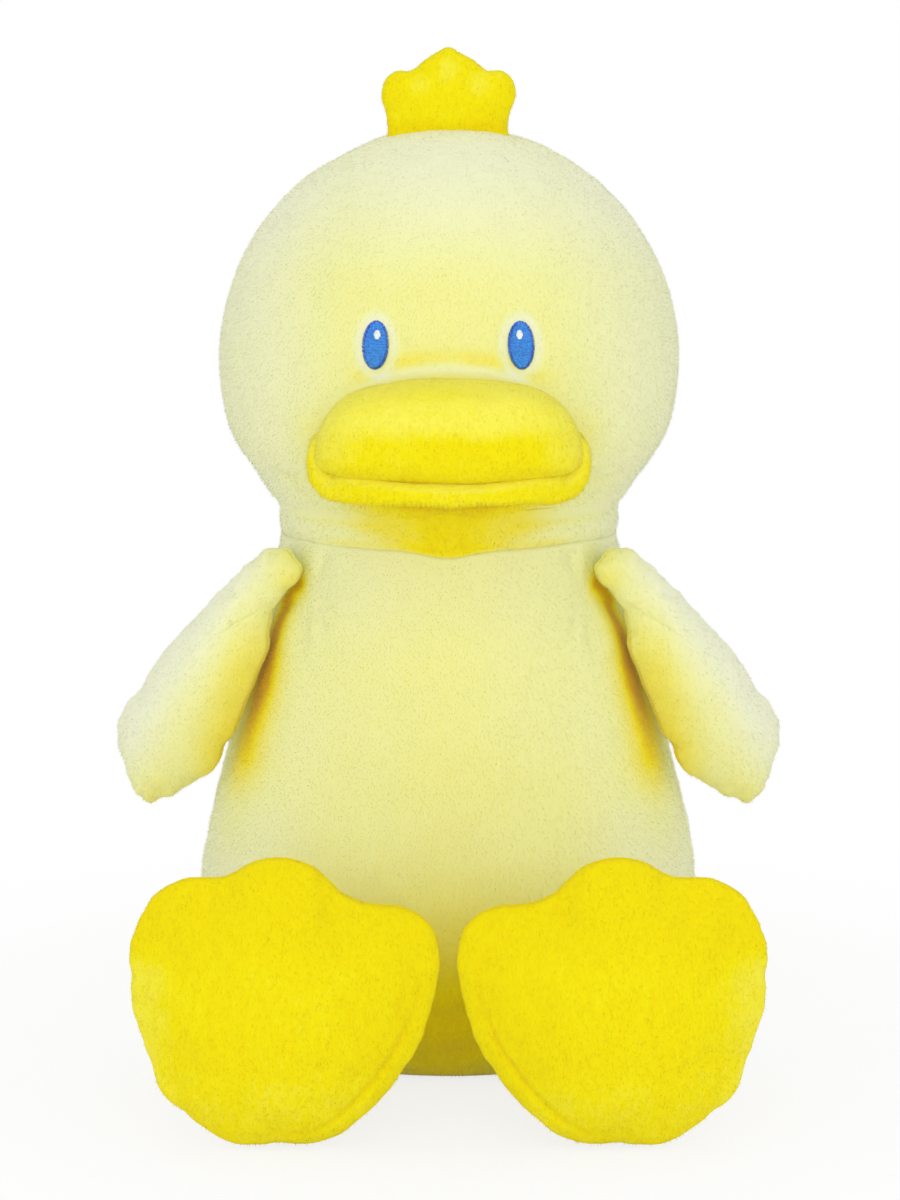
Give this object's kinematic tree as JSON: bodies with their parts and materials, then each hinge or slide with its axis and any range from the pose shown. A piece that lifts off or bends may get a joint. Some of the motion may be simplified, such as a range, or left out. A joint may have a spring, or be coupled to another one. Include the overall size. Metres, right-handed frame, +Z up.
{
  "type": "plush duck",
  "caption": "Seated soft-stuffed duck with a ball head, rolled bill, lobed crest, paddle wings and webbed feet that flex at neck, shoulders and hips.",
  "frame": {"origin": "middle of the flat seat, on the surface the toy sits on", "axes": "+Z up through the head, -Y the way the bill points, +X the duck's own left"},
  "size_m": [0.1966, 0.216, 0.3011],
  "materials": {
    "pale_velour": "short-pile velour with a soft sheen",
    "yellow_velour": "short-pile velour with a soft sheen",
    "fibre_fill": "loose white fibre",
    "pouch_cloth": "plain woven cotton",
    "blue_thread": "satin-stitch embroidery",
    "white_thread": "satin-stitch embroidery"
  },
  "bodies": {
    "torso": {"torso_front_panel": "pale_velour", "torso_back_panel": "pale_velour", "torso_seat_panel": "pale_velour", "torso_fill": "fibre_fill", "seat_pellet_pouch": "pouch_cloth", "tail_cover": "pale_velour", "tail_fill": "fibre_fill"},
    "neck": {"neck_band": "pale_velour", "neck_fill": "fibre_fill"},
    "head": {"head_front_panel": "pale_velour", "head_back_panel": "pale_velour", "head_fill": "fibre_fill", "left_eye": "blue_thread", "left_eye_highlight": "white_thread", "right_eye": "blue_thread", "right_eye_highlight": "white_thread", "upper_bill_cover": "yellow_velour", "upper_bill_fill": "fibre_fill", "lower_bill_cover": "yellow_velour", "lower_bill_fill": "fibre_fill", "crest_front_panel": "yellow_velour", "crest_back_panel": "yellow_velour", "crest_fill": "fibre_fill"},
    "left_wing": {"left_wing_front_panel": "pale_velour", "left_wing_back_panel": "pale_velour", "left_wing_fill": "fibre_fill"},
    "right_wing": {"right_wing_front_panel": "pale_velour", "right_wing_back_panel": "pale_velour", "right_wing_fill": "fibre_fill"},
    "left_leg": {"left_leg_cover": "yellow_velour", "left_leg_fill": "fibre_fill", "left_foot_sole_panel": "yellow_velour", "left_foot_top_panel": "yellow_velour", "left_foot_fill": "fibre_fill"},
    "right_leg": {"right_leg_cover": "yellow_velour", "right_leg_fill": "fibre_fill", "right_foot_sole_panel": "yellow_velour", "right_foot_top_panel": "yellow_velour", "right_foot_fill": "fibre_fill"}
  },
  "joints": [
    {"name": "head_turn", "type": "hinge", "parent": "torso", "child": "neck", "pos_m": [0, 0, 0.1528], "axis": [0, 0, 1], "range_deg": [-30, 30], "stiffness_Nm_per_rad": 0.25},
    {"name": "head_nod", "type": "hinge", "parent": "neck", "child": "head", "pos_m": [0, 0, 0.20881], "axis": [1, 0, 0], "range_deg": [-15, 15], "stiffness_Nm_per_rad": 0.5},
    {"name": "left_wing_lift", "type": "hinge", "parent": "torso", "child": "left_wing", "pos_m": [0.05205, -0.02874, 0.1455], "axis": [0.309, -0.9511, 0], "range_deg": [0, 60], "stiffness_Nm_per_rad": 0.05},
    {"name": "right_wing_lift", "type": "hinge", "parent": "torso", "child": "right_wing", "pos_m": [-0.05205, -0.02874, 0.1455], "axis": [0.309, 0.9511, 0], "range_deg": [0, 60], "stiffness_Nm_per_rad": 0.05},
    {"name": "left_leg_lift", "type": "hinge", "parent": "torso", "child": "left_leg", "pos_m": [0.0449, -0.05556, 0.036], "axis": [-1, 0, 0], "range_deg": [0, 35], "stiffness_Nm_per_rad": 0.15},
    {"name": "right_leg_lift", "type": "hinge", "parent": "torso", "child": "right_leg", "pos_m": [-0.0449, -0.05556, 0.036], "axis": [-1, 0, 0], "range_deg": [0, 35], "stiffness_Nm_per_rad": 0.15}
  ]
}
